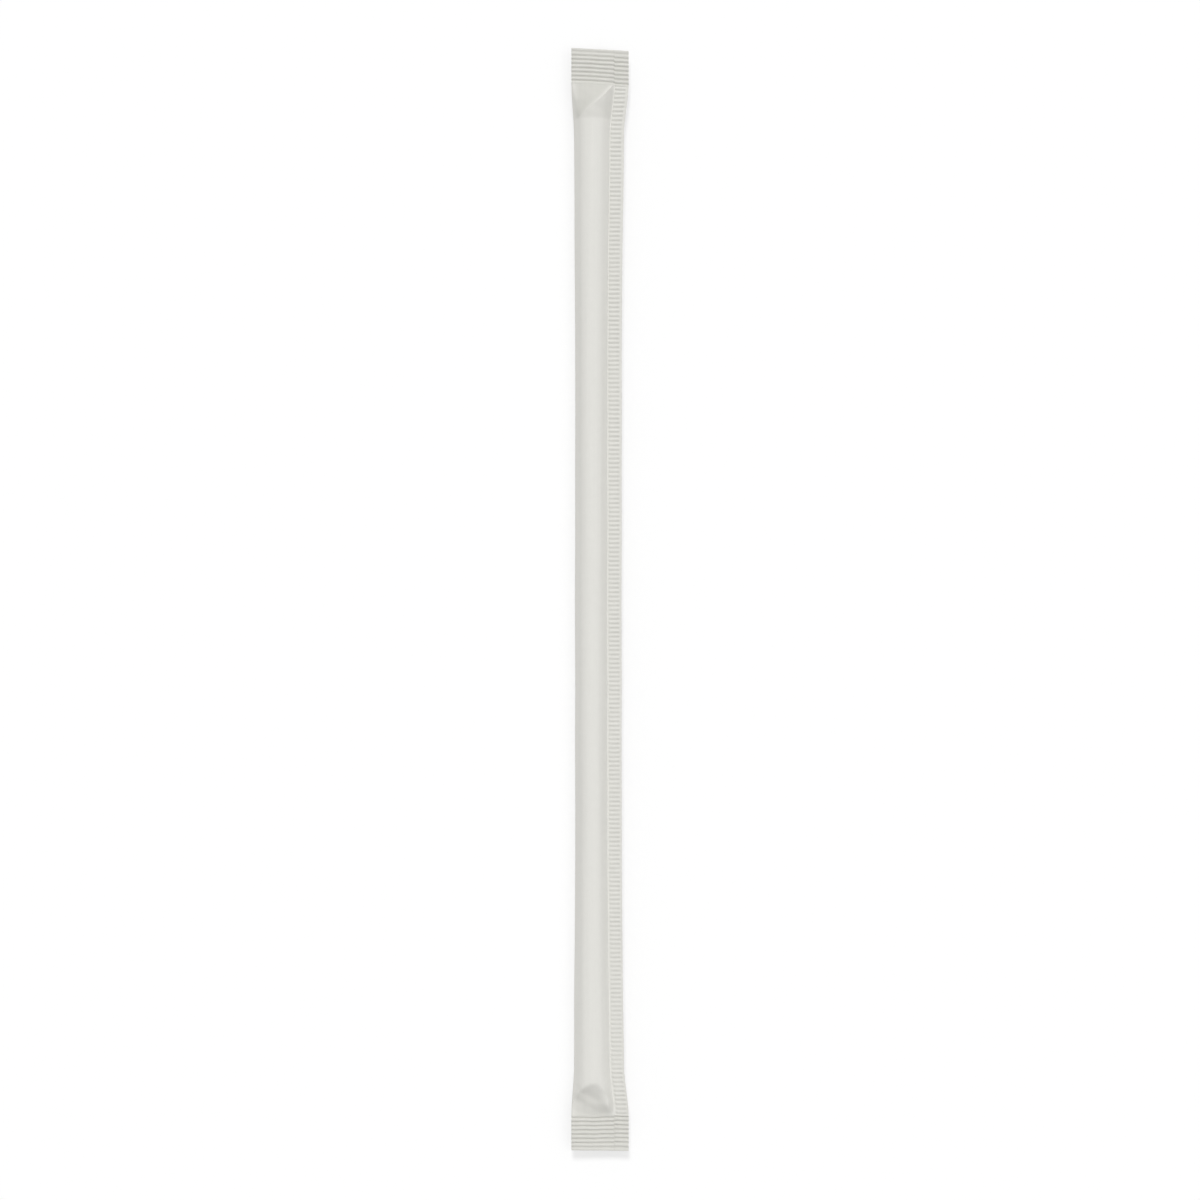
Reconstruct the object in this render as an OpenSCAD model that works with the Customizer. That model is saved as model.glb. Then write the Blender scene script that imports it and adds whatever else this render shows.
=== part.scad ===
// A bendy drinking straw, sealed in its own paper sleeve and lying on its back.
// The length runs along X, the width across Y, and the table is the plane z = 0.

/* [Straw] */
// Outer diameter of the tube
straw_d = 5; // [4:0.25:8]
// Length of the straw, stretched straight
straw_l = 200; // [140:5:260]
// Wall of the tube
wall = 0.2; // [0.12:0.02:0.4]

/* [Bellows] */
// Straight tube between the mouth end and the bellows
mouth_l = 42; // [25:1:60]
// Number of corrugations
ribs = 18; // [8:1:26]
// Length of one corrugation
rib_pitch = 1.2; // [0.9:0.05:1.8]
// Depth of the grooves between the corrugations
groove = 0.5; // [0.3:0.05:0.8]

/* [Paper sleeve] */
// Thickness of one layer of paper, as modelled
paper_t = 0.1; // [0.06:0.02:0.16]
// Flat width that the paper has to spare beyond half a turn round the straw
ease = 0.5; // [0.3:0.1:2]
// Width of the flat seam along one edge
seam_w = 3; // [2.8:0.1:5]
// Length of the ribbed seal across each end
crimp_l = 7; // [4:0.5:12]
// Number of ribs across each end seal
crimp_ribs = 8; // [4:1:14]
// Height of the ribs of the end seals
crimp_h = 0.3; // [0.1:0.05:0.5]
// Length over which the sleeve opens from the end seal to its full section
tuck_l = 7.8; // [5:0.2:14]
// How far the straw pushes the folded edge in from the end seal's corner
fold_in = 0.8; // [0.2:0.05:1.2]

/* [Seam embossing] */
// Distance from one dash to the next along the seam
dash_pitch = 0.93; // [0.8:0.05:2]
// Width of a dash, along the seam
dash_w = 0.42; // [0.3:0.02:0.6]
// Length of a dash, across the seam
dash_l = 2.2; // [1:0.1:2.3]
// How far the dashes stand out of the seam's two faces
dash_h = 0.06; // [0.04:0.01:0.1]
// Plain strip between the dashes and the seam's free edge
seam_margin = 0.45; // [0.2:0.05:0.5]

/* [Clearances] */
// Gap between the straw and the paper round it
wrap_gap = 0.16; // [0.1:0.02:0.3]
// Gap between the straw and the flat of paper under it
rest_gap = 0.05; // [0.02:0.01:0.08]
// Gap between the straw's ends and the folds that close the sleeve
end_gap = 0.2; // [0.1:0.1:2]

/* [Hidden] */
paper_white = [0.86, 0.86, 0.84];
straw_white = [0.97, 0.97, 0.96];

// The paper runs straight from each edge of the sleeve to the round of the straw.
// Its slope is the angle whose involute is the spare paper over the wrap's diameter.
wrap_r = straw_d / 2 + wrap_gap;
flat_h = straw_d / 2 + rest_gap;
slope = involute_angle(ease / 2 / wrap_r, 0, 85, 40);
reach = 90 - slope;
edge_y = wrap_r / cos(slope);
line_l = wrap_r * tan(slope);
pocket_w = 2 * line_l + arc_l(2 * reach);

sleeve_w = pocket_w + paper_t + seam_w;
sleeve_l = straw_l + 2 * (end_gap + tuck_l + crimp_l);
flat_y = sleeve_w / 2 - paper_t - pocket_w / 2;
straw_y = sleeve_w / 2 - fold_in - paper_t - edge_y;
axis_z = paper_t + flat_h;

// Angles round the straw at which the paper's section has its corners
rest_a = acos(flat_h / wrap_r);
ROUND = [1, 0.8, 0.6, 0.4, 0.2, 0];
bend_angles = concat(
    [for (k = ROUND) rest_a + k * (reach - rest_a)],
    [0],
    [for (k = [len(ROUND) - 1:-1:0]) -rest_a - ROUND[k] * (reach - rest_a)]
);
// The same corners as shares of the pocket's width, from the fold to the seam
fold_u = line_l / pocket_w;
corners = concat([0], [for (a = bend_angles) share(a)], [1]);

// The seam's crease meets one corner of the section at each of these stations.
opening = [for (k = [len(corners) - 1:-1:1]) (1 - corners[k]) / (1 - fold_u)];
crimp_step = crimp_l / crimp_ribs / 2;
tip_h = 0.01;

bellows_l = ribs * rib_pitch;
dash_count = floor((sleeve_l - 2 * (crimp_l + tuck_l)) / dash_pitch);
dash_y = straw_y - edge_y - seam_w + seam_margin + dash_l / 2;

function arc_l(a) = wrap_r * a * PI / 180;

function involute_angle(v, lo, hi, n) =
    let (mid = (lo + hi) / 2)
    n == 0 ? mid
    : tan(mid) - mid * PI / 180 > v ? involute_angle(v, lo, mid, n - 1)
    : involute_angle(v, mid, hi, n - 1);

function share(a) = (line_l + arc_l(reach - a)) / pocket_w;

function mix(a, b, k) = a + (b - a) * k;

// A point of the full section, [y, z] from the straw's axis, at share u of the paper
function wrapped(u) =
    let (s = u * pocket_w, turn = reach - (s - line_l) / arc_l(1))
    s < line_l ? mix([edge_y, 0], wrap_r * [sin(reach), cos(reach)], s / line_l)
    : s > pocket_w - line_l
        ? mix([-edge_y, 0], wrap_r * [-sin(reach), cos(reach)], (pocket_w - s) / line_l)
    : wrap_r * [sin(turn), cos(turn)];

// The same point where the sleeve is only open by the share "open": the paper spans
// flat between two creases, which run from the end seal's corners to meet by the fold.
function draped(u, open) =
    let (
        fold = fold_u * open,
        seam = 1 - (1 - fold_u) * open,
        inside = u > fold && u < seam,
        p = inside ? mix(wrapped(fold), wrapped(seam), (u - fold) / (seam - fold)) : wrapped(u),
        widen = mix(pocket_w / 2 / edge_y, 1, open)
    )
    [p.x * widen, p.y];

// One station along the sleeve: [x, how far it is open, lift of both layers]
end_stations = concat(
    [for (i = [0:2 * crimp_ribs - 1]) [sleeve_l / 2 - i * crimp_step, 0, crimp_h / 2 * (i % 2 * 2 - 1)]],
    [for (s = opening) [sleeve_l / 2 - crimp_l - s * tuck_l, s, 0]]
);
stations = concat(end_stations, [for (i = [len(end_stations) - 1:-1:0])
    [-end_stations[i][0], end_stations[i][1], end_stations[i][2]]]);
pocket_stations = [for (s = stations) if (abs(s[0]) <= sleeve_l / 2 - crimp_l + tip_h) s];

function place(p, station) =
    [station[0], p.x + mix(flat_y, straw_y, station[1]), axis_z + p.y + station[2]];

// The paper's outer face: the fold's nose, the upper layer, the seam, the lower layer
function outer_ring(station) =
    let (
        upper = [for (u = corners) draped(u, station[1])],
        seam_edge = upper[len(upper) - 1].x - seam_w
    )
    [for (p = concat(
        [[upper[0].x + paper_t, 0]],
        [for (p = upper) [p.x, p.y + paper_t]],
        [[seam_edge, paper_t], [seam_edge, -paper_t]],
        [for (i = [len(upper) - 1:-1:0]) [upper[i].x, -min(upper[i].y, flat_h) - paper_t]]
    )) place(p, station)];

// The paper's inner face, round the room that the straw lies in
function inner_ring(station) =
    let (
        upper = [for (u = corners) draped(u, station[1])],
        last = len(upper) - 1,
        closed = station[1] == 0
    )
    [for (p = concat(
        [for (i = [0:last]) [upper[i].x, i == 0 || i == last ? 0 : closed ? tip_h : upper[i].y]],
        [for (i = [last - 1:-1:1]) [upper[i].x, closed ? -tip_h : -min(upper[i].y, flat_h)]]
    )) place(p, station)];

// A closed skin over rings of points: the two ends are fans, and each band between
// two rings is split along the creases, which lean the other way in the far half.
module skin(rings) {
    m = len(rings[0]);
    n = len(rings);
    polyhedron(
        points = [for (ring = rings) each ring],
        faces = concat(
            [for (j = [1:m - 2]) [0, j + 1, j]],
            [for (j = [1:m - 2]) [(n - 1) * m, (n - 1) * m + j, (n - 1) * m + j + 1]],
            [for (i = [0:n - 2], j = [0:m - 1])
                let (a = i * m + j, b = i * m + (j + 1) % m, lean = (j < m / 2) == (i < n / 2))
                each lean
                    ? [[a, b, a + m], [a + m, b, b + m]]
                    : [[a, b + m, a + m], [a, b, b + m]]]
        )
    );
}

module seam_dashes() {
    for (i = [0:dash_count - 1])
        translate([(i - (dash_count - 1) / 2) * dash_pitch, dash_y, axis_z])
            cube([dash_w, dash_l, 2 * (paper_t + dash_h)], center = true);
}

// One sheet of paper: folded along one edge, sealed along the other and at both ends
module paper_sleeve() {
    color(paper_white) {
        difference() {
            skin([for (s = stations) outer_ring(s)]);
            skin([for (s = pocket_stations) inner_ring(s)]);
        }
        seam_dashes();
    }
}

// The line along one corrugation, as [distance along the tube, depth below the crest]
function corrugation(i) = [for (p = [[0.18, 0], [0.45, groove], [0.58, groove], [1, 0]])
    [mouth_l + (i + p.x) * rib_pitch, p.y]];

module straw() {
    line = concat([[0, 0]], [for (i = [0:ribs - 1]) each corrugation(i)], [[straw_l, 0]]);
    profile = concat(
        [for (p = line) [straw_d / 2 - p.y, p.x]],
        [for (i = [len(line) - 1:-1:0]) [straw_d / 2 - wall - line[i].y, line[i].x]]
    );
    color(straw_white)
        translate([straw_l / 2, straw_y, axis_z])
            rotate([0, -90, 0])
                rotate_extrude($fn = 48) polygon(profile);
}

paper_sleeve();
straw();
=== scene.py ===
"""A bendy drinking straw in its paper sleeve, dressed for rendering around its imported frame.

The sleeve starts as a flat ruled sheet of paper. The sheet is folded round the straw, and pressed into ribs
across its two ends and into a ladder of dashes along its seam. The straw inside is drawn out ring by ring,
like the tube that it is. Both have their sizes in millimetres, and the rest of the scene in metres.
"""

import logging
import math
from dataclasses import dataclass
from enum import Enum

import bpy
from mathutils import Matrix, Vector, noise


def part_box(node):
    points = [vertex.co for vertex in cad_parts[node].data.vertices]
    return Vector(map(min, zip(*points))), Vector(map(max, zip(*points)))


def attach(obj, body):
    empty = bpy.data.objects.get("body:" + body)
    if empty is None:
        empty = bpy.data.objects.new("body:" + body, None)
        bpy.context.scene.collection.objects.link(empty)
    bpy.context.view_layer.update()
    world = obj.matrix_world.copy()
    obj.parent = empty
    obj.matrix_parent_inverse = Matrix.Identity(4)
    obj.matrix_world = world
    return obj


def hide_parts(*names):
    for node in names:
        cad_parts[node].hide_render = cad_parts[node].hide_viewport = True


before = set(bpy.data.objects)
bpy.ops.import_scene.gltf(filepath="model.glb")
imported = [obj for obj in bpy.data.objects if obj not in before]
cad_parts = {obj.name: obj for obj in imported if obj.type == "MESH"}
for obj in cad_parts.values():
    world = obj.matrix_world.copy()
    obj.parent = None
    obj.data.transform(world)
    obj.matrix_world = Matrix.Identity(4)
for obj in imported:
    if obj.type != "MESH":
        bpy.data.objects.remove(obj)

LOG = logging.getLogger("wrapped_straw")
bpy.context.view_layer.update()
MM = 0.001

# Millimetres within which two places on the flat sheet count as the same
CLOSE = 0.01

# Degrees above which an edge of the paper or of the straw is shown sharp
PAPER_CREASE = 60
STRAW_CREASE = 40

# Two values between which an effect rises from nothing to its full strength
Span = tuple[float, float]
Socket = bpy.types.NodeSocket


class Layer(Enum):
    """The two layers of paper that lie on each other in the flattened sleeve."""

    UPPER = 1
    LOWER = -1


class Slot(Enum):
    """The record's material slots."""

    PAPER = "sleeve_paper"
    PLASTIC = "straw_plastic"


def mix(a: float, b: float, share: float) -> float:
    """Return the value that lies the given share of the way from a to b."""
    return a + (b - a) * share


def ease(low: float, high: float, value: float) -> float:
    """Return 0 below low and 1 above high, with a smooth rise between them."""
    share = min(1.0, max(0.0, (value - low) / (high - low)))
    return share * share * (3 - 2 * share)


def spaced(low: float, high: float, step: float) -> list[float]:
    """Divide a stretch evenly.

    Args:
        low: Where the stretch starts.
        high: Where it ends.
        step: The wanted distance between two values.

    Returns:
        The values from low up to, but not including, high.
    """
    count = max(1, round((high - low) / step))
    return [mix(low, high, i / count) for i in range(count)]


def deselect_all() -> None:
    """Leave edit mode and clear the selection, so that an operator acts on nothing else."""
    if bpy.context.mode != "OBJECT":
        bpy.ops.object.mode_set(mode="OBJECT")
    bpy.ops.object.select_all(action="DESELECT")


def apply_modifier(piece: bpy.types.Object, kind: str, **settings: object) -> None:
    """Add a modifier of a kind to a piece, the active object, with its own settings, and apply it."""
    modifier = piece.modifiers.new(kind.title(), kind)
    for name, value in settings.items():
        setattr(modifier, name, value)
    bpy.ops.object.modifier_apply(modifier=modifier.name)


def dress(piece: bpy.types.Object, material: bpy.types.Material, node: str) -> None:
    """Give a finished piece its material and its place in the frame.

    Args:
        piece: The finished piece, with its place in its mesh.
        material: The material of the whole piece.
        node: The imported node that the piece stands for.
    """
    piece.data.materials.clear()
    piece.data.materials.append(material)
    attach(piece, "root")
    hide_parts(node)
    LOG.info("%s: %d faces, stands for %s", piece.name, len(piece.data.polygons), node)


class NodeGraph:
    """The node tree of a material or a world, with short calls to add and join its nodes."""

    def __init__(self, owner: bpy.types.Material | bpy.types.World) -> None:
        """Empty the node tree of a new material or world."""
        owner.use_nodes = True
        self.owner = owner
        self.tree = owner.node_tree
        self.tree.nodes.clear()

    def add(self, kind: str, **settings: object) -> bpy.types.Node:
        """Add a node of one of Blender's kinds, set its properties by name, and return it."""
        node = self.tree.nodes.new(kind)
        for name, value in settings.items():
            setattr(node, name, value)
        return node

    def fill(self, node: bpy.types.Node, **values: object) -> None:
        """Set input sockets of a node by name, with spaces written as underscores."""
        for name, value in values.items():
            node.inputs[name.replace("_", " ")].default_value = value

    def join(self, source: Socket, target: Socket) -> None:
        """Join an output socket to an input socket."""
        self.tree.links.new(source, target)

    def show(self, shader: Socket, output: str = "ShaderNodeOutputMaterial") -> None:
        """Join a shader to a new output node."""
        self.join(shader, self.add(output).inputs["Surface"])

    def stretched(self, place: Socket, along: float, across: float) -> Socket:
        """Scale a place's coordinates along and across the sheet, and return the new socket."""
        node = self.add("ShaderNodeMapping")
        self.fill(node, Scale=(along, across, 1.0))
        self.join(place, node.inputs["Vector"])
        return node.outputs["Vector"]

    def noise_of(self, place: Socket, scale: float, detail: float) -> Socket:
        """Add a noise texture that reads a place, and return the socket with its value, from 0 to 1."""
        texture = self.add("ShaderNodeTexNoise")
        self.fill(texture, Scale=scale, Detail=detail, Roughness=0.6)
        self.join(place, texture.inputs["Vector"])
        return texture.outputs["Fac"]

    def ranged(self, value: Socket, low: float, high: float) -> Socket:
        """Stretch a value from 0 to 1 onto a new range, and return the new socket."""
        node = self.add("ShaderNodeMapRange")
        self.fill(node, To_Min=low, To_Max=high)
        self.join(value, node.inputs["Value"])
        return node.outputs["Result"]

    def maths(self, operation: str, *values: Socket) -> Socket:
        """Work out one of Blender's mathematical operations on two values, and return the new socket."""
        node = self.add("ShaderNodeMath", operation=operation)
        for value, socket in zip(values, node.inputs):
            self.join(value, socket)
        return node.outputs["Value"]

    def rays(self, *kinds: str) -> Socket:
        """Return a socket with 1 for rays of two kinds, such as "Is Camera Ray", and 0 for all others."""
        path = self.add("ShaderNodeLightPath")
        return self.maths("MAXIMUM", *(path.outputs[kind] for kind in kinds))

    def bump(self, height: Socket, depth: float) -> Socket:
        """Raise the surface by a height of 0 to 1 times a depth, and return the normal's socket."""
        node = self.add("ShaderNodeBump")
        self.fill(node, Strength=1.0, Distance=depth)
        self.join(height, node.inputs["Height"])
        return node.outputs["Normal"]


@dataclass(frozen=True)
class PaperFinish:
    """Thin uncoated white paper: matte, faintly cloudy, with fine fibres."""

    name: str = "sleeve_paper"
    colour: tuple[float, float, float] = (0.735, 0.728, 0.69)
    # The darker colour that the painted shade mixes the paper towards
    shaded: tuple[float, float, float] = (0.60, 0.595, 0.555)
    roughness: float = 0.82
    cloud_scale: float = 0.5
    cloud_depth: float = 0.02
    band_scale: float = 1.1
    band_depth: float = 0.02
    fibre_scale: float = 3.2
    fibre_depth: float = 0.03
    grain_height: float = 0.02 * MM

    def material(self, sheet: Vector) -> bpy.types.Material:
        """Build the material on the sheet's own flat coordinates.

        Args:
            sheet: Length and width of the flat sheet in millimetres, which its UV map covers from 0 to 1.

        Returns:
            The paper's material.
        """
        graph = NodeGraph(bpy.data.materials.new(self.name))
        flat = graph.stretched(graph.add("ShaderNodeTexCoord").outputs["UV"], sheet.x, sheet.y)
        cloud = graph.noise_of(flat, self.cloud_scale, detail=4.0)
        lanes = graph.stretched(flat, along=0.02, across=1.0)
        band = graph.noise_of(lanes, self.band_scale, detail=2.0)
        strands = graph.stretched(flat, along=0.6, across=1.5)
        fibre = graph.noise_of(strands, self.fibre_scale, detail=6.0)
        clouds = graph.ranged(cloud, 1 - self.cloud_depth, 1 + self.cloud_depth)
        bands = graph.ranged(band, 1 - self.band_depth, 1 + self.band_depth)
        fibres = graph.ranged(fibre, 1 - self.fibre_depth, 1 + self.fibre_depth)
        shade = graph.maths("MULTIPLY", graph.maths("MULTIPLY", clouds, bands), fibres)

        # The sleeve's shade attribute: mostly painted shade, partly the greyer tone of the pressed end
        # seals
        painted_shade = graph.add("ShaderNodeAttribute", attribute_name=PaperSleeve.SHADE)
        tone = graph.add("ShaderNodeMix", data_type="RGBA")
        tone.inputs["A"].default_value = (*self.colour, 1.0)
        tone.inputs["B"].default_value = (*self.shaded, 1.0)
        graph.join(painted_shade.outputs["Fac"], tone.inputs["Factor"])
        shaded = graph.add("ShaderNodeVectorMath", operation="SCALE")
        graph.join(tone.outputs["Result"], shaded.inputs["Vector"])
        graph.join(shade, shaded.inputs["Scale"])

        surface = graph.add("ShaderNodeBsdfPrincipled")
        graph.fill(surface, Roughness=self.roughness, Specular_IOR_Level=0.25, IOR=1.45)
        graph.join(shaded.outputs["Vector"], surface.inputs["Base Color"])
        graph.join(graph.bump(fibre, self.grain_height), surface.inputs["Normal"])
        graph.show(surface.outputs["BSDF"])
        return graph.owner


@dataclass(frozen=True)
class PlasticFinish:
    """Thin white polypropylene, softly glossy, with faint lines along the tube."""

    name: str = "straw_plastic"
    colour: tuple[float, float, float] = (0.82, 0.82, 0.80)
    roughness: float = 0.28
    smoothest: float = 0.05
    roughest: float = 0.08
    line_scale: float = 1400.0
    line_height: float = 0.004 * MM

    def material(self) -> bpy.types.Material:
        """Build and return the plastic's material, on the piece's own coordinates."""
        graph = NodeGraph(bpy.data.materials.new(self.name))
        place = graph.add("ShaderNodeTexCoord").outputs["Object"]
        lines = graph.noise_of(graph.stretched(place, along=0.02, across=1.0), self.line_scale, detail=2.0)
        surface = graph.add("ShaderNodeBsdfPrincipled")
        graph.fill(surface, Base_Color=(*self.colour, 1.0), IOR=1.49)
        graph.fill(surface, Subsurface_Weight=0.15, Subsurface_Scale=0.4 * MM)
        gloss = graph.ranged(lines, self.roughness - self.smoothest, self.roughness + self.roughest)
        graph.join(gloss, surface.inputs["Roughness"])
        graph.join(graph.bump(lines, self.line_height), surface.inputs["Normal"])
        graph.show(surface.outputs["BSDF"])
        return graph.owner


@dataclass
class Drape:
    """How the paper lies round the straw, in millimetres.

    A point of the flat sheet is its place along the straw and its distance from the fold. A point of the
    section is its distance across from the straw's axis and its height over that axis.

    Attributes:
        length: Length of the sleeve.
        width: Its width across the end seals.
        straw_d: The straw's outer diameter.
        straw_y: Where the straw's axis lies across the sleeve.
        axis_z: How high it lies.
        paper: Thickness of one layer.
        wrap_gap: Gap between the straw and the paper round it.
        rest_gap: Gap between the straw and the flat of paper under it.
        spare: Width of paper beyond what half a turn round the straw needs.
        seam: Width of the flat seam along one edge.
        crimp: Length of an end seal.
        tuck: Length over which the sleeve opens, from an end seal to the straw's end.
        crease: Half the width over which a crease turns.
        apart: Share of the pocket's width between two creases at which they start to turn more sharply.
        arch_top: Share of the pocket's width at which the foot's arch is highest.
        arch_side: Share of the pocket's width at which the arch meets the foot's seal.
        arch_curve: How strongly the arch's sides curve.
        arch_edge: How soft its steep side is, as a share of the other creases.
        arch_rise: How far the sleeve has opened, from 0 to 1, where the foot has its full height.
        least: Share of the pocket's width below which no facet is left between the creases.
        shoulder: Length over which the sleeve narrows quickly beside an end seal.
        taper: Length over which it narrows slowly.
        taper_share: The slow part of the narrowing.
    """

    length: float
    width: float
    straw_d: float
    straw_y: float
    axis_z: float
    paper: float = 0.1
    wrap_gap: float = 0.16
    rest_gap: float = 0.05
    spare: float = 0.5
    seam: float = 3.0
    crimp: float = 7.0
    tuck: float = 7.8
    crease: float = 0.3
    apart: float = 0.25
    arch_top: float = 0.58
    arch_side: float = 0.84
    arch_curve: int = 3
    arch_edge: float = 0.8
    arch_rise: float = 0.4
    least: float = 0.004
    shoulder: float = 11.0
    taper: float = 60.0
    taper_share: float = 0.34

    def __post_init__(self) -> None:
        """Work out the section's angles and widths from the sizes."""
        inner = self.straw_d / 2 + self.wrap_gap
        self.radius = inner + self.paper / 2
        self.slope = self.involute_angle(self.spare / 2 / inner)
        self.reach = math.pi / 2 - self.slope
        self.edge = self.radius / math.cos(self.slope)
        self.line = self.radius * math.tan(self.slope)
        self.pocket = 2 * self.line + 2 * self.radius * self.reach
        self.half_sheet = self.pocket + self.seam
        self.fold_share = self.line / self.pocket
        self.seal = self.length / 2 - self.crimp
        self.flat_half = (self.width - self.seam - self.paper / 2) / 2
        self.flat_y = self.width / 2 - self.paper / 2 - self.flat_half
        self.rest = self.straw_d / 2 + self.rest_gap + self.paper / 2

    @staticmethod
    def involute_angle(value: float) -> float:
        """Return the angle whose tangent exceeds it by the given value, in radians."""
        low, high = 0.0, 1.5
        for _ in range(50):
            middle = (low + high) / 2
            low, high = (low, middle) if math.tan(middle) - middle > value else (middle, high)
        return low

    def opened(self, x: float) -> float:
        """Return how far the sleeve is open at a place along it, from 0 at the end seals to 1."""
        return min(1.0, max(0.0, (self.seal - abs(x)) / self.tuck))

    def narrowed(self, x: float) -> float:
        """Return how far the sleeve has narrowed at a place along it, from 0 at the end seals to 1.

        Most of it happens over a short shoulder, and the rest over a long taper.
        """
        inward = self.seal - abs(x)
        return mix(ease(0.0, self.shoulder, inward), ease(0.0, self.taper, inward), self.taper_share)

    def wrapped(self, share: float) -> Vector:
        """Return the point of the full section at a share of the pocket's width, counted from the fold."""
        along = share * self.pocket
        rim = Vector((math.sin(self.reach), math.cos(self.reach))) * self.radius
        if along < self.line:
            return Vector((self.edge, 0)).lerp(rim, along / self.line)
        if along > self.pocket - self.line:
            far = (self.pocket - along) / self.line
            return Vector((-self.edge, 0)).lerp(Vector((-rim.x, rim.y)), far)
        turn = self.reach - (along - self.line) / self.radius
        return Vector((math.sin(turn), math.cos(turn))) * self.radius

    def creases(self, x: float) -> tuple[float, float]:
        """Find the two creases that the paper spans flat between, where the sleeve is only part open.

        At the mouth they start from the end seal's corners and meet beside the fold, at the straw's end. At
        the foot they are softer, and make an arch in front of the straw's end.

        Args:
            x: The place along the straw.

        Returns:
            The share of the pocket's width at which each crease crosses, counted from the fold.
        """
        opened = self.opened(x)
        if x > 0:
            return self.fold_share * opened, 1 - (1 - self.fold_share) * opened
        risen = opened**self.arch_curve
        return self.arch_top * risen, mix(self.arch_side, self.arch_top, risen)

    def facet(self, share: float, x: float) -> float:
        """Return how much a point belongs to the flat facet between the creases, from 0 to 1."""
        fold, seam = self.creases(x)
        if seam - fold < self.least or (x > 0 and share > seam):
            return 0.0
        soft = self.crease * min(1.0, (seam - fold) / self.apart)
        flatness = ease(-soft, soft, (share - fold) * self.pocket)
        if x > 0:
            return flatness
        soft *= self.arch_edge
        return flatness * ease(soft, -soft, (share - seam) * self.pocket)

    def draped(self, share: float, x: float) -> Vector:
        """Find a point of one layer's section.

        Args:
            share: The share of the pocket's width, counted from the fold.
            x: The place along the straw.

        Returns:
            The point, with its height still counted upwards.
        """
        point = self.wrapped(share)
        flatness = self.facet(share, x)
        if flatness:
            fold, seam = self.creases(x)
            start, end = self.wrapped(fold), self.wrapped(seam)
            flat = start + (end - start) * ((share - fold) / (seam - fold))
            point = point.lerp(flat, flatness)
        widen = mix(self.flat_half / self.edge, 1.0, self.narrowed(x))
        raised = 1.0 if x > 0 else ease(0.0, self.arch_rise, self.opened(x))
        return Vector((point.x * widen, max(0.0, point.y) * raised))

    def across(self, x: float) -> float:
        """Return where the middle of the pocket lies across the sleeve, at a place along it."""
        return mix(self.flat_y, self.straw_y, self.narrowed(x))

    def on_seam(self, distance: float) -> float:
        """Return how far out on the seam a point lies, from 0 at the pocket to 1 at the sleeve's edge."""
        return max(0.0, distance - self.pocket) / self.seam

    def section(self, x: float, distance: float, layer: Layer) -> Vector:
        """Find where a point of the flat sheet lies, before ribs, dashes and wrinkles.

        Args:
            x: The place along the straw.
            distance: The distance from the fold, over the paper.
            layer: The layer that the point is on.

        Returns:
            The place across and the height over the straw's axis.
        """
        point = self.draped(min(1.0, distance / self.pocket), x)
        beyond = max(0.0, distance - self.pocket)
        height = point.y if layer is Layer.UPPER else min(point.y, self.rest - self.paper / 2)
        nose = self.paper / 2 * min(1.0, distance / self.paper)
        return Vector((self.across(x) + point.x - beyond, layer.value * (height + nose)))


@dataclass(frozen=True)
class Ripple:
    """A gentle unevenness: one part of a smooth noise.

    Attributes:
        height: Its greatest height.
        along: Its turns in a unit of the first direction.
        across: Its turns in a unit of the second direction.
        part: The place in the noise that it is read from, so that no two ripples are alike.
        layered: How far above and below that place the two layers of paper read it.
    """

    height: float
    along: float
    across: float = 0.0
    part: tuple[float, float] = (0.0, 0.0)
    layered: float = 0.0

    def at(self, first: float, second: float = 0.0, side: int = 0) -> float:
        """Find the ripple's height at a place.

        Args:
            first: The place in the first direction.
            second: The place in the second direction.
            side: The value of the layer, for a ripple that isn't the same on both.

        Returns:
            The height, below zero in a dent.
        """
        beside, depth = self.part
        place = Vector((first * self.along, second * self.across + beside, depth + self.layered * side))
        return self.height * noise.noise(place)


@dataclass(frozen=True)
class SealLook:
    """How one end seal and the paper beside it came out of the press, and how much shade is painted beside
    it.

    Attributes:
        tilt: Slant of the cut end and the ribs, as a rise over the width.
        waviness: How far the ribs wander, in millimetres.
        crumple: Height of the puckers beside the seal, in millimetres.
        hollow_shade: How much painted shade darkens the hollow in front of the straw's end, where no straw
            backs the paper, from 0 to 1.
        flank_shade: The same painted shade for the paper between the hollow's crease and the seam.
        backing_end: How far the sleeve has opened where no straw backs the paper any more.
    """

    tilt: float
    waviness: float
    crumple: float
    hollow_shade: float
    flank_shade: float
    backing_end: float


@dataclass(frozen=True)
class ShadeAndPressTones:
    """How much darker the paper is painted, from 0 to 1: mostly painted shade, partly the greyer tone of
    the pressed end seals.
    """

    # Partly the greyer tone of pressed paper, partly painted shade over the end seals
    seal: float = 0.6
    # Painted shade in the ribs' grooves
    rib_groove_shade: float = 0.7
    seam: float = 0.35
    # Painted shade line along the seam's inner edge, in the end seals
    seam_shade_line: float = 0.35
    # Painted shadow on each dash's side away from the key light
    dash_shadow: float = 0.45


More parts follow.
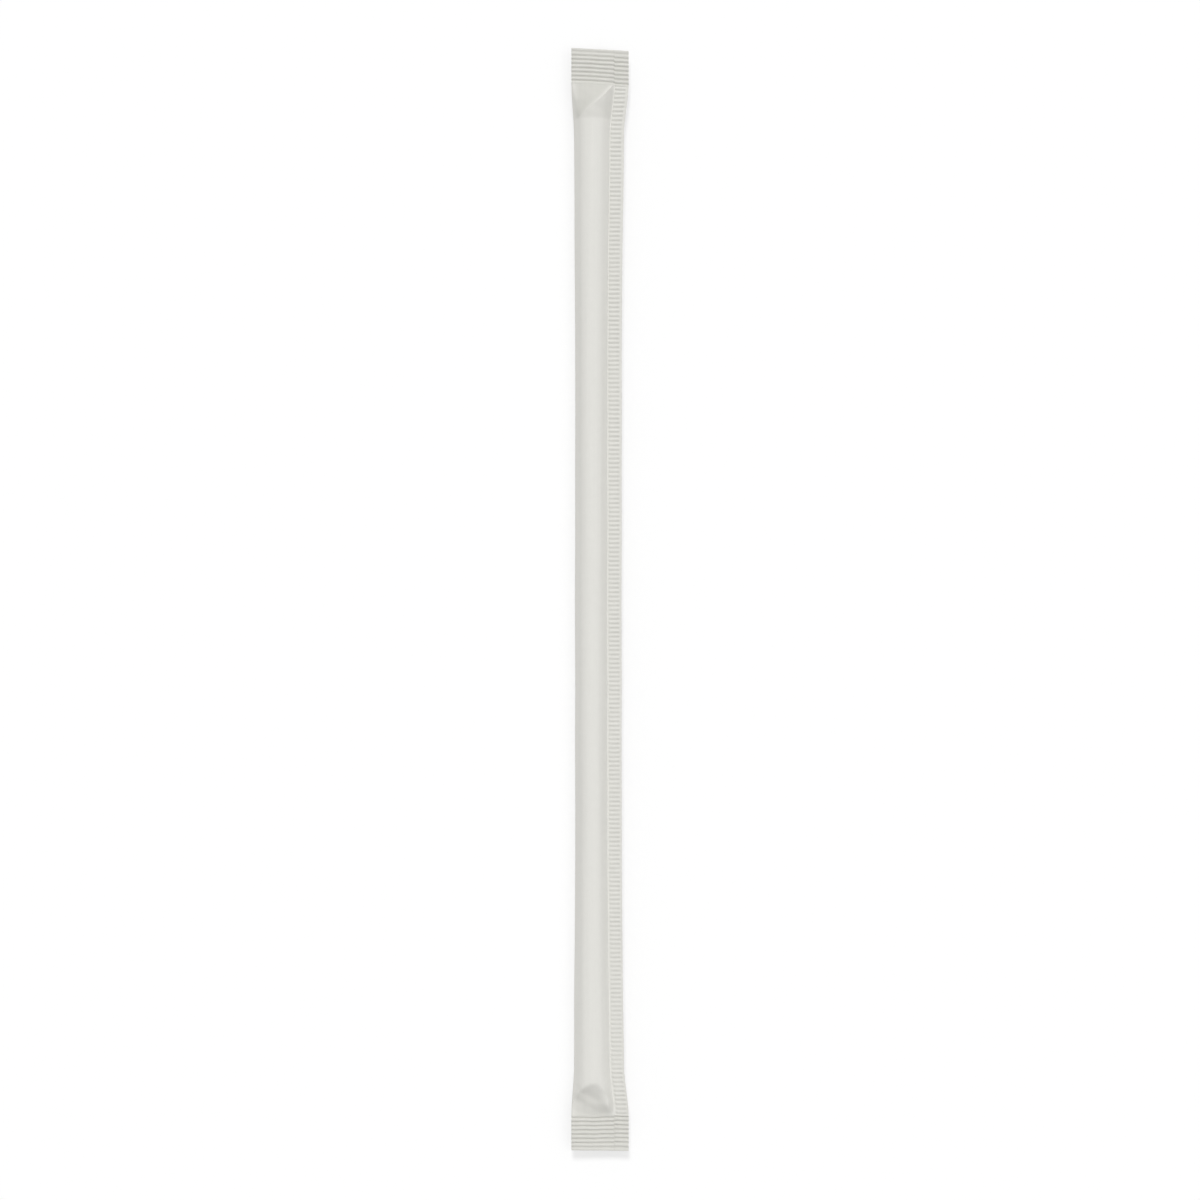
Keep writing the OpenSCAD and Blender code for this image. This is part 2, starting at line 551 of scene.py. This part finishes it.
@dataclass
class Ladder:
    """The ladder of dashes that the seam is embossed with, in millimetres.

    Attributes:
        drape: How the paper lies.
        pitch: Distance from one dash to the next, along the seam.
        length: Length of a dash, across the seam.
        height: How far a whole dash stands out.
        middle: Height of the dashes at the middle of the sleeve, as a share of a whole one's.
        gain: How much that share grows from the foot to the mouth.
        edge: How sharp a dash's long sides are, from 0 for the softest.
        ramp: Width of the slope at a dash's two ends.
        margin: Width of the plain strip between the dashes and the sleeve's edge.
        first: Distance from an end seal to the first whole dash.
        drift: How far the ladder moves across the seam, from the foot to the mouth.
        shift: How far the painted shadow beside each dash lies from its crest, towards the side away from
            the key light, as a share of the pitch.
        wander: How the ladder strays from its line.
        wear: How the dashes' height varies.
    """

    drape: Drape
    pitch: float = 0.93
    length: float = 2.1
    height: float = 0.105
    middle: float = 0.85
    gain: float = 0.35
    edge: float = 0.12
    ramp: float = 0.12
    margin: float = 0.5
    first: float = 0.6
    drift: float = 0.3
    shift: float = 0.22
    wander: Ripple = Ripple(0.03, along=0.05, part=(4.0, 0.0))
    wear: Ripple = Ripple(0.3, along=0.4, across=1.0, part=(0.0, 8.3))

    def __post_init__(self) -> None:
        """Work out between which distances from the fold the dashes lie."""
        self.end = self.drape.half_sheet - self.margin
        self.start = self.end - self.length

    def drifted(self, x: float, distance: float) -> float:
        """Return a point's distance from the fold with the ladder slightly askew on the seam."""
        drape = self.drape
        rise = (distance - drape.pocket) / (self.start - self.ramp - drape.pocket)
        fall = (drape.half_sheet - distance) / (self.margin - self.ramp)
        askew = self.drift * x / drape.length + self.wander.at(x)
        return distance - askew * max(0.0, min(1.0, rise, fall))

    def at(self, x: float, distance: float) -> float:
        """Return the height of the dashes at a place on the seam, where a whole dash has 1."""
        if not self.start - self.ramp < distance < self.end + self.ramp:
            return 0.0
        seal = self.drape.seal
        side = ease(self.start - self.ramp, self.start, distance)
        side *= ease(self.end + self.ramp, self.end, distance)
        inside = ease(seal, seal - self.first, abs(x))
        wave = 0.5 + 0.5 * math.cos(2 * math.pi * x / self.pitch)
        depth = self.middle + self.gain * x / self.drape.length + self.wear.at(x, distance)
        return ease(self.edge, 1 - self.edge, wave) * side * inside * depth

    def painted_shadow(self, x: float, distance: float) -> float:
        """Return how much painted shadow a place gets, on the side of a dash away from the key light, from
        0 to about 1.
        """
        return self.at(x + self.shift * self.pitch, distance)


@dataclass
class EndRibs:
    """The ribs that are pressed across the two end seals, in millimetres.

    They jump where they cross the inner edge of the seam, which was pressed before them.

    Attributes:
        drape: How the paper lies.
        count: Number of ribs in an end seal.
        height: Height of a rib's crest over the middle between crest and groove.
        crispness: How much steeper the ribs are than plain waves.
        jump: How far they jump at the seam.
        jump_half: Half the width over which they jump.
        straight: Distance from the cut end over which they start to wander.
        cut_share: Their height at the cut end, as a share of their full height.
        cut_rise: Span of their rise to full height, in distances from the cut end.
        inner_rise: The same at the seal's inner end, in distances beyond it.
        wander: How they stray from straight lines.
    """

    drape: Drape
    count: int = 8
    height: float = 0.15
    crispness: float = 0.25
    jump: float = 0.2
    jump_half: float = 0.15
    straight: float = 2.0
    cut_share: float = 0.45
    cut_rise: Span = (0.2, 2.2)
    inner_rise: Span = (0.5, -0.1)
    wander: Ripple = Ripple(1.0, along=0.22, across=0.1, part=(0.0, 3.1))

    def at(self, x: float, y: float, waviness: float) -> float:
        """Find the ribs' height.

        Args:
            x: The place along the straw.
            y: The place across the sleeve.
            waviness: How far the ribs of this end seal wander.

        Returns:
            The height, from -1 to 1, which fades out beyond the end seals.
        """
        drape = self.drape
        inward = drape.length / 2 - abs(x)
        seam_y = drape.flat_y - drape.flat_half
        strayed = waviness * self.wander.at(y, x)
        strayed -= self.jump * ease(seam_y + self.jump_half, seam_y - self.jump_half, y)
        along = inward + strayed * ease(0.0, self.straight, inward)
        wave = math.sin(2 * math.pi * along * self.count / drape.crimp)
        crisp = wave * (1 + self.crispness * (1 - wave * wave))
        whole = ease(*self.inner_rise, along - drape.crimp)
        return crisp * whole * mix(self.cut_share, 1.0, ease(*self.cut_rise, inward))


@dataclass
class RuledSheet:
    """The flat sheet of paper and the lines that it is ruled with, in millimetres.

    Attributes:
        drape: How the paper will lie.
        ladder: The dashes, which need finer rules along them.
        ribs: The ribs, which need finer rules across the sheet.
        nose: Distances from the fold of the rules beside it. The even ones start at the last.
        rule: Distance between the even rules along the sheet.
        root: Distances of the rules beside the seam's inner edge, counted from it.
        dash_inset: Distance from a dash's ends to the first rules between them.
        dash_rule: Distance between the rules that cross a dash.
        rib_steps: Number of rules across the sheet for each rib.
        body_cuts: Number of rules across the seam alone, between two that cross the whole sheet.
        tuck_cuts: The same beside the end seals.
    """

    drape: Drape
    ladder: Ladder
    ribs: EndRibs
    nose: tuple[float, ...] = (0.0, 0.05, 0.13, 0.27, 0.45)
    rule: float = 0.31
    root: tuple[float, ...] = (-0.3, -0.12, 0.0, 0.1)
    dash_inset: float = 0.3
    dash_rule: float = 0.5
    rib_steps: int = 6
    body_cuts: int = 11
    tuck_cuts: int = 2

    def size(self) -> Vector:
        """Return the sheet's length and width."""
        return Vector((self.drape.length, 2 * self.drape.half_sheet))

    def half_columns(self) -> list[float]:
        """Return the distances from the fold where one layer is ruled along its length."""
        drape, ladder = self.drape, self.ladder
        inner = (ladder.start + self.dash_inset, ladder.end - self.dash_inset)
        half = list(self.nose[:-1])
        half += spaced(self.nose[-1], drape.line, self.rule)
        half += spaced(drape.line, drape.pocket + self.root[0], self.rule)
        half += [drape.pocket + beside for beside in self.root]
        half += [ladder.start - ladder.ramp, ladder.start] + spaced(*inner, self.dash_rule)
        return half + [inner[1], ladder.end, ladder.end + ladder.ramp, drape.half_sheet]

    def columns(self) -> list[float]:
        """Return the same for the whole sheet, with distances below zero on the lower layer."""
        half = self.half_columns()
        return [-w for w in reversed(half[1:])] + half

    def stations(self) -> list[float]:
        """Return the places along the straw where the sheet is ruled across it, from foot to mouth.

        Beside each end seal there is one where each column meets the crease of the mouth's facet.
        """
        drape = self.drape
        half = spaced(0, drape.seal - drape.tuck, 2 * self.ladder.pitch)
        for w in self.half_columns():
            if drape.line - CLOSE < w < drape.pocket - CLOSE:
                half.append(drape.seal - drape.tuck * (1 - w / drape.pocket) / (1 - drape.fold_share))
        half += spaced(drape.seal, drape.length / 2, drape.crimp / self.ribs.count / self.rib_steps)
        half.append(drape.length / 2)
        return [-x for x in reversed(half[1:])] + half

    def lay_out(self) -> bpy.types.Object:
        """Lay the flat sheet out and rule it, and return it with its UV map over its flat form."""
        xs, ws = self.stations(), self.columns()
        deselect_all()
        bpy.ops.mesh.primitive_grid_add(x_subdivisions=len(xs) - 1, y_subdivisions=len(ws) - 1, size=1.0)
        sheet = bpy.context.object
        sheet.name = sheet.data.name = "sleeve"
        for vertex in sheet.data.vertices:
            i = round((vertex.co.x + 0.5) * (len(xs) - 1))
            j = round((vertex.co.y + 0.5) * (len(ws) - 1))
            vertex.co = Vector((xs[i], ws[j], 0))
        tucked = self.drape.seal - self.drape.tuck
        self.rule_seam(sheet, 0, tucked, self.body_cuts)
        self.rule_seam(sheet, tucked, self.drape.seal, self.tuck_cuts)
        self.crease_facets(sheet)
        size, mesh = self.size(), sheet.data
        for loop, uv in zip(mesh.loops, mesh.uv_layers.active.data):
            flat = mesh.vertices[loop.vertex_index].co
            uv.uv = (flat.x / size.x + 0.5, flat.y / size.y + 0.5)
        return sheet

    def rule_seam(self, sheet: bpy.types.Object, start: float, end: float, cuts: int) -> None:
        """Rule the two strips of the flat sheet that make the seam more finely along their length.

        Args:
            sheet: The flat sheet.
            start: The distance from the middle of the sheet at which the finer rules start, on both sides.
            end: The distance at which they end.
            cuts: How many rules are added between two that are there.
        """
        drape, mesh = self.drape, sheet.data
        bpy.context.tool_settings.mesh_select_mode = (False, True, False)
        for element in (*mesh.vertices, *mesh.polygons):
            element.select = False
        for edge in mesh.edges:
            a, b = (mesh.vertices[i].co for i in edge.vertices)
            near, far = sorted((abs(a.x), abs(b.x)))
            lengthwise = abs(a.y - b.y) < CLOSE and start - CLOSE < near and far < end + CLOSE
            edge.select = lengthwise and abs(a.y) > drape.pocket + CLOSE
        bpy.ops.object.mode_set(mode="EDIT")
        bpy.ops.mesh.subdivide(number_cuts=cuts)
        bpy.ops.object.mode_set(mode="OBJECT")

    def crease_facets(self, sheet: bpy.types.Object) -> None:
        """Cut the flat sheet's faces along the creases of the mouth's facets, and mark them sharp."""
        drape, mesh = self.drape, sheet.data
        for element in (*mesh.edges, *mesh.polygons):
            element.select = False
        for vertex in mesh.vertices:
            crease = drape.creases(vertex.co.x)[1] * drape.pocket
            at_mouth = vertex.co.x > 0 and 0 < drape.opened(vertex.co.x) < 1
            vertex.select = at_mouth and abs(abs(vertex.co.y) - crease) < CLOSE
        bpy.context.tool_settings.mesh_select_mode = (True, False, False)
        bpy.ops.object.mode_set(mode="EDIT")
        bpy.ops.mesh.vert_connect()
        bpy.ops.mesh.mark_sharp()
        bpy.ops.object.mode_set(mode="OBJECT")


@dataclass
class PaperSleeve:
    """The sealed paper sleeve: the flat sheet, folded, pressed and wrinkled. Its sizes are in millimetres.

    Attributes:
        drape: How the paper lies round the straw.
        ladder: The dashes along the seam.
        ribs: The ribs across the end seals.
        mouth_seal: The look of the end seal beside the straw's mouth.
        foot_seal: The look of the other one.
        tones: How dark the painted shade and the pressed end seals are painted.
        filled: Share of the paper's thickness that is filled, so that no two layers share a face.
        seam_shade_line: Width of the painted shade line along the seam's inner edge, in the end seals.
        seam_rise: Share of the seam's width over which its tone rises.
        seal_edge: How far the sleeve has opened, from 0 to 1, where an end seal's tone has faded out.
        slant_end: The same for the slant of the cut end.
        ridge_half: Half the width of the soft ridge along the facets' crease.
        ridge_height: Its height.
        ridge_shade: How much of the hollow's painted shade it keeps, so that it shows as a painted
            highlight.
        tightness: How far the paper is drawn in towards the straw.
        pucker_bias: How much the puckers tend to be dents.
        pucker_lean: How far along the straw they lean, over the pocket's width.
        off_fold: Span of the wrinkles beside the fold, in shares of the pocket's width.
        off_seam: The same beside the seam.
        hollow_fold: Span of the hollow's painted shade beside the fold, in the same shares.
        hollow_seam: The same beside the seam.
        hollow_seal: Span of that painted shade beside an end seal, in how far the sleeve has opened.
        pucker_seal: The same for the puckers.
        pucker_body: The same for the puckers, on the straw's side.
        sway: How the sleeve strays sideways.
        flutter: The long waves of the seam.
        fine_flutter: Its short waves.
        warp: How the end seals bend.
        dents: The soft dents of the body.
        streaks: Its long fine streaks.
        puckers: The puckers beside the end seals.
    """

    SHADE = "shade"

    drape: Drape
    ladder: Ladder
    ribs: EndRibs
    # The hollow and flank values of both ends below are painted shade where no straw backs the paper
    mouth_seal: SealLook = SealLook(
        tilt=0.055, waviness=0.1, crumple=0.16, hollow_shade=0.95, flank_shade=0.43, backing_end=0.93
    )
    foot_seal: SealLook = SealLook(
        tilt=0.016, waviness=0.28, crumple=0.2, hollow_shade=0.45, flank_shade=0.45, backing_end=0.45
    )
    tones: ShadeAndPressTones = ShadeAndPressTones()
    filled: float = 0.9
    # Width of the painted shade line along the seam's inner edge
    seam_shade_line: float = 0.12
    seam_rise: float = 0.1
    seal_edge: float = 0.1
    slant_end: float = 0.4
    ridge_half: float = 0.7
    ridge_height: float = 0.08
    # Share of the hollow's painted shade kept on the ridge, a painted highlight
    ridge_shade: float = 0.3
    tightness: float = 0.03
    pucker_bias: float = 0.2
    pucker_lean: float = 4.0
    off_fold: Span = (0.0, 0.12)
    off_seam: Span = (1.1, 0.9)
    hollow_fold: Span = (-0.05, 0.2)
    hollow_seam: Span = (1.0, 0.94)
    hollow_seal: Span = (0.0, 0.05)
    pucker_seal: Span = (0.0, 0.3)
    pucker_body: Span = (1.0, 0.75)
    sway: Ripple = Ripple(0.07, along=0.06, part=(1.7, 0.0))
    flutter: Ripple = Ripple(0.3, along=0.035, part=(9.2, 0.0))
    fine_flutter: Ripple = Ripple(0.1, along=0.11, part=(2.2, 0.0))
    warp: Ripple = Ripple(0.4, along=0.1, across=0.13, part=(0.0, 6.4))
    dents: Ripple = Ripple(0.06, along=0.045, across=2.4, layered=5.0)
    streaks: Ripple = Ripple(0.045, along=0.02, across=11.0, layered=11.0)
    puckers: Ripple = Ripple(1.0, along=0.5, across=3.0, part=(0.0, 2.0), layered=1.0)

    def look(self, x: float) -> SealLook:
        """Return the look of the end seal on this side of the sleeve's middle."""
        return self.mouth_seal if x > 0 else self.foot_seal

    def ridge(self, share: float, x: float) -> float:
        """Return how close a point lies to the soft ridge along the facet's crease, from 0 to 1."""
        aside = (share - self.drape.creases(x)[1]) * self.drape.pocket
        return math.exp(-((aside / self.ridge_half) ** 2))

    def hollow(self, share: float, x: float) -> float:
        """Return the painted shade where no straw backs the paper, lessened along the ridge as a painted
        highlight.
        """
        opened, look = self.drape.opened(x), self.look(x)
        empty = ease(1.0, look.backing_end, opened) * ease(*self.hollow_seal, opened)
        empty *= ease(*self.hollow_fold, share) * ease(*self.hollow_seam, share)
        tone = look.hollow_shade if share < self.drape.creases(x)[1] else look.flank_shade
        return empty * mix(tone, self.ridge_shade * look.hollow_shade, self.ridge(share, x))

    def wrinkle(self, x: float, distance: float, layer: Layer) -> float:
        """Return how far soft dents and folds move the paper outwards at a place on the sheet."""
        opened, share, side = self.drape.opened(x), distance / self.drape.pocket, layer.value
        calm = ease(*self.off_fold, share) * ease(*self.off_seam, share)
        body = self.dents.at(x, share, side) + self.streaks.at(x, share, side) - self.tightness
        puckers = self.puckers.at(x + self.pucker_lean * share, share, side) - self.pucker_bias
        crumple = self.look(x).crumple * puckers
        ridge = self.ridge_height * self.ridge(share, x) * (1 - opened)
        near_end = ease(*self.pucker_body, opened) * ease(*self.pucker_seal, opened)
        return calm * (body * opened + (crumple + ridge) * near_end)

    def lift(self, x: float, y: float, distance: float) -> float:
        """Return how far both layers bend up or down where the seam flutters and the end seals warp."""
        flutter = self.flutter.at(x) + self.fine_flutter.at(x)
        return flutter * self.drape.on_seam(distance) + self.warp.at(x, y) * (1 - self.drape.opened(x))

    def tone(self, x: float, distance: float, rib: float) -> float:
        """Find how much darker the paper is painted: mostly painted shade in the grooves, beside the
        dashes, over the end seals and in the hollow, partly the greyer tone of the pressed end seals.

        Args:
            x: The place along the straw.
            distance: The distance from the fold, over the paper.
            rib: The height of the end seal's ribs there, from -1 to 1.

        Returns:
            The tone, from 0 to 1.
        """
        drape, tones = self.drape, self.tones
        sealed = ease(self.seal_edge, 0.0, drape.opened(x))
        seam_shade_line = math.exp(-(((distance - drape.pocket) / self.seam_shade_line) ** 2))
        # Partly the greyer pressed paper, partly painted shade over the end seals, with a painted shade
        # line along the seam's inner edge
        tone = (tones.seal + tones.seam_shade_line * seam_shade_line) * sealed
        # Painted shade in the ribs' grooves, and painted shadow on each dash's side away from the key light
        tone += tones.rib_groove_shade * max(0.0, -rib) + tones.dash_shadow * self.ladder.painted_shadow(x, distance)
        tone += tones.seam * ease(0.0, self.seam_rise, drape.on_seam(distance)) * (1 - sealed)
        # Painted shade where no straw backs the paper, lighter along the ridge as a painted highlight
        return min(1.0, tone + self.hollow(distance / drape.pocket, x))

    def folded(self, x: float, w: float) -> tuple[Vector, float]:
        """Move a point of the flat sheet to its place on the sleeve.

        Args:
            x: The place along the straw.
            w: The distance from the fold, below zero on the lower layer.

        Returns:
            The point, in metres, and how much darker the paper is painted there, from 0 to 1.
        """
        drape, look, distance = self.drape, self.look(x), abs(w)
        layer = Layer.UPPER if w >= 0 else Layer.LOWER
        opened = drape.opened(x)
        point = drape.section(x, self.ladder.drifted(x, distance), layer)
        rib = self.ribs.at(x, point.x, look.waviness)
        y = point.x + self.sway.at(x) * opened
        z = drape.axis_z + point.y + self.lift(x, point.x, distance)
        z += self.ribs.height * rib + self.ladder.height * self.ladder.at(x, distance)
        z += layer.value * self.wrinkle(x, distance, layer)
        slant = look.tilt * y * ease(self.slant_end, 0.0, opened)
        place = Vector((x + slant, y, max(z, drape.paper / 2)))
        return place * MM, self.tone(x, distance, rib)

    def build(self, finish: PaperFinish) -> bpy.types.Object:
        """Fold and press the sleeve from its flat sheet, and return the finished piece."""
        ruled = RuledSheet(self.drape, self.ladder, self.ribs)
        sheet = ruled.lay_out()
        # Each point keeps how dark its paper is painted: mostly painted shade, partly the pressed seals'
        # greyer tone
        shade = sheet.data.attributes.new(self.SHADE, "FLOAT", "POINT")
        for index, vertex in enumerate(sheet.data.vertices):
            vertex.co, shade.data[index].value = self.folded(vertex.co.x, vertex.co.y)
        bpy.ops.object.mode_set(mode="EDIT")
        bpy.ops.mesh.select_all(action="SELECT")
        bpy.ops.mesh.flip_normals()
        bpy.ops.object.mode_set(mode="OBJECT")
        apply_modifier(sheet, "SOLIDIFY", thickness=self.drape.paper * MM * self.filled, offset=0.0)
        bpy.ops.object.shade_smooth_by_angle(angle=math.radians(PAPER_CREASE))
        dress(sheet, finish.material(ruled.size()), "paper_sleeve")
        return sheet


@dataclass
class BendyStraw:
    """The plastic straw in the sleeve, a straight tube with a bellows near its mouth, in millimetres.

    Attributes:
        diameter: Outer diameter of the tube.
        mouth_x: Where its mouth lies along the frame.
        foot_x: Where its foot lies.
        axis_y: Where its axis lies across the frame.
        axis_z: How high it lies.
        wall: Thickness of the tube.
        mouth: Length of plain tube before the bellows.
        ribs: Number of corrugations.
        rib_pitch: Length of one.
        groove: Depth of the grooves between them.
        lip: Length of the first ring.
        ring_step: Length of the rings after the bellows.
        sides: Number of faces round the tube.
    """

    # Corners of one corrugation: shares of its pitch and of the groove's depth
    CORRUGATION = ((0.08, 0), (0.18, 0.06), (0.42, 0.92), (0.51, 1), (0.6, 0.92), (0.9, 0.08))

    diameter: float
    mouth_x: float
    foot_x: float
    axis_y: float
    axis_z: float
    wall: float = 0.2
    mouth: float = 42.0
    ribs: int = 18
    rib_pitch: float = 1.2
    groove: float = 0.5
    lip: float = 1.0
    ring_step: float = 20.0
    sides: int = 64

    def outline(self) -> list[tuple[float, float]]:
        """Return the tube's outline after its mouth, as distances from the mouth and outer radii."""
        crest = self.diameter / 2
        steps = [(self.lip, crest), (self.mouth / 2, crest), (self.mouth, crest)]
        for i in range(self.ribs):
            for along, deep in self.CORRUGATION:
                steps.append((self.mouth + (i + along) * self.rib_pitch, crest - deep * self.groove))
        bellows_end = self.mouth + self.ribs * self.rib_pitch
        foot = self.mouth_x - self.foot_x
        rest = spaced(bellows_end, foot, self.ring_step) + [foot]
        return steps + [(along, crest) for along in rest]

    def build(self, finish: PlasticFinish) -> bpy.types.Object:
        """Draw the tube out from its mouth, ring by ring, and return the finished piece."""
        deselect_all()
        centre = Vector((self.mouth_x, self.axis_y, self.axis_z)) * MM
        radius = self.diameter / 2
        bpy.ops.mesh.primitive_circle_add(
            vertices=self.sides, radius=radius * MM, location=centre, rotation=(0, math.pi / 2, 0)
        )
        straw = bpy.context.object
        straw.name = straw.data.name = "bendy_straw"
        bpy.ops.object.transform_apply(location=True, rotation=True, scale=True)
        bpy.ops.object.mode_set(mode="EDIT")
        bpy.ops.mesh.select_all(action="SELECT")
        reached = 0.0
        for along, wanted in self.outline():
            step = (reached - along) * MM
            bpy.ops.mesh.extrude_edges_move(TRANSFORM_OT_translate={"value": (step, 0, 0)})
            centre.x += step
            share = wanted / radius
            bpy.ops.transform.resize(value=(1, share, share), center_override=centre)
            reached, radius = along, wanted
        bpy.ops.mesh.select_all(action="SELECT")
        bpy.ops.mesh.normals_make_consistent(inside=False)
        bpy.ops.object.mode_set(mode="OBJECT")
        apply_modifier(straw, "SOLIDIFY", thickness=self.wall * MM, offset=-1.0, use_even_offset=True)
        bpy.ops.object.shade_smooth_by_angle(angle=math.radians(STRAW_CREASE))
        dress(straw, finish.material(), "straw")
        return straw


@dataclass
class Studio:
    """A plain white floor, soft light and a camera that looks straight down, in metres.

    Attributes:
        aim: The point that the camera looks at.
        tall: Height of the picture's subject.
        lens: Focal length of the camera, in millimetres.
        sensor: Height of its picture, in millimetres.
        nearest: Distance from the camera at which it starts to see.
        margin: Height of the picture, as a multiple of the subject's.
        floor_size: Length of the floor's sides.
        floor_white: Reflectance of the floor.
        floor_glow: Share of plain white in the floor as the camera sees it.
        glow_strength: Brightness of that white.
        sky: Brightness of the world as a light.
    """

    aim: Vector
    tall: float
    lens: float = 90.0
    sensor: float = 36.0
    nearest: float = 0.01
    margin: float = 1.09
    floor_size: float = 6.0
    floor_white: float = 0.86
    floor_glow: float = 0.5
    glow_strength: float = 1.12
    sky: float = 0.47

    def floor(self) -> None:
        """Lay the floor. Seen straight on it is nearly white, and it keeps the object's shadow."""
        deselect_all()
        bpy.ops.mesh.primitive_plane_add(size=self.floor_size, location=(0, 0, 0))
        floor = bpy.context.object
        floor.name = "floor"
        graph = NodeGraph(bpy.data.materials.new("floor_white"))
        diffuse = graph.add("ShaderNodeBsdfDiffuse")
        graph.fill(diffuse, Color=(self.floor_white, self.floor_white, self.floor_white, 1.0))
        glow = graph.add("ShaderNodeEmission")
        graph.fill(glow, Strength=self.glow_strength)
        share = graph.ranged(graph.rays("Is Camera Ray", "Is Glossy Ray"), 0.0, self.floor_glow)
        both = graph.add("ShaderNodeMixShader")
        graph.join(share, both.inputs["Fac"])
        graph.join(diffuse.outputs["BSDF"], both.inputs[1])
        graph.join(glow.outputs["Emission"], both.inputs[2])
        graph.show(both.outputs["Shader"])
        floor.data.materials.append(graph.owner)

    def backdrop(self) -> None:
        """Light the world evenly, and show it white to the camera, also through clear things."""
        graph = NodeGraph(bpy.data.worlds.new("studio_world"))
        bpy.context.scene.world = graph.owner
        background = graph.add("ShaderNodeBackground")
        graph.fill(background, Color=(1.0, 1.0, 1.0, 1.0))
        strength = graph.ranged(graph.rays("Is Camera Ray", "Is Transmission Ray"), self.sky, 1.0)
        graph.join(strength, background.inputs["Strength"])
        graph.show(background.outputs["Background"], "ShaderNodeOutputWorld")

    def sun(self, name: str, place: tuple[float, float, float], share: float, spread: float) -> None:
        """Hang a far soft light that shines evenly over the whole floor.

        Args:
            name: What the light is called.
            place: The direction that it shines from.
            share: Its part in the light on the floor, where the sky and the lights make about 1.
            spread: How wide the light is seen from the object, in degrees.
        """
        deselect_all()
        bpy.ops.object.light_add(type="SUN", location=Vector(place) + self.aim)
        light = bpy.context.object
        light.name = name
        direction = Vector(place).normalized()
        light.data.angle = math.radians(spread)
        light.data.energy = share * math.pi / direction.z
        light.rotation_euler = direction.to_track_quat("Z", "Y").to_euler()

    def camera(self) -> None:
        """Look straight down on the middle of the sleeve, with its mouth end at the top of the picture."""
        deselect_all()
        height = self.tall * self.margin * self.lens / self.sensor
        bpy.ops.object.camera_add(location=self.aim + Vector((0, 0, height)), rotation=(0, 0, -math.pi / 2))
        camera = bpy.context.object
        camera.data.lens = self.lens
        camera.data.sensor_width = self.sensor
        camera.data.clip_start = self.nearest
        bpy.context.scene.camera = camera

    def build(self) -> None:
        """Set the whole studio up."""
        self.floor()
        self.backdrop()
        self.sun("key_light", place=(0.8, 0.08, 1.0), share=0.4, spread=16.0)
        self.sun("fill_light", place=(-0.1, -0.5, 1.0), share=0.16, spread=50.0)
        self.camera()
        bpy.context.scene.view_settings.view_transform = "Standard"


def in_millimetres(corner: Vector) -> Vector:
    """Return a point of the frame in millimetres."""
    return Vector(corner) / MM


def main() -> None:
    """Build the sleeve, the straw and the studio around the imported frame."""
    logging.basicConfig(level=logging.INFO, format="%(message)s")
    low, high = (in_millimetres(corner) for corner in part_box("paper_sleeve"))
    straw_low, straw_high = (in_millimetres(corner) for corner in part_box("straw"))
    straw_d = straw_high.z - straw_low.z
    axis = (straw_low + straw_high) / 2
    length, width = high.x - low.x, high.y - low.y
    drape = Drape(length, width, straw_d, straw_y=axis.y, axis_z=axis.z)
    PaperSleeve(drape, Ladder(drape), EndRibs(drape)).build(PaperFinish())
    straw = BendyStraw(straw_d, mouth_x=straw_high.x, foot_x=straw_low.x, axis_y=axis.y, axis_z=axis.z)
    straw.build(PlasticFinish())
    Studio(aim=Vector((0, 0, axis.z)) * MM, tall=length * MM).build()


if __name__ == "__main__":
    main()
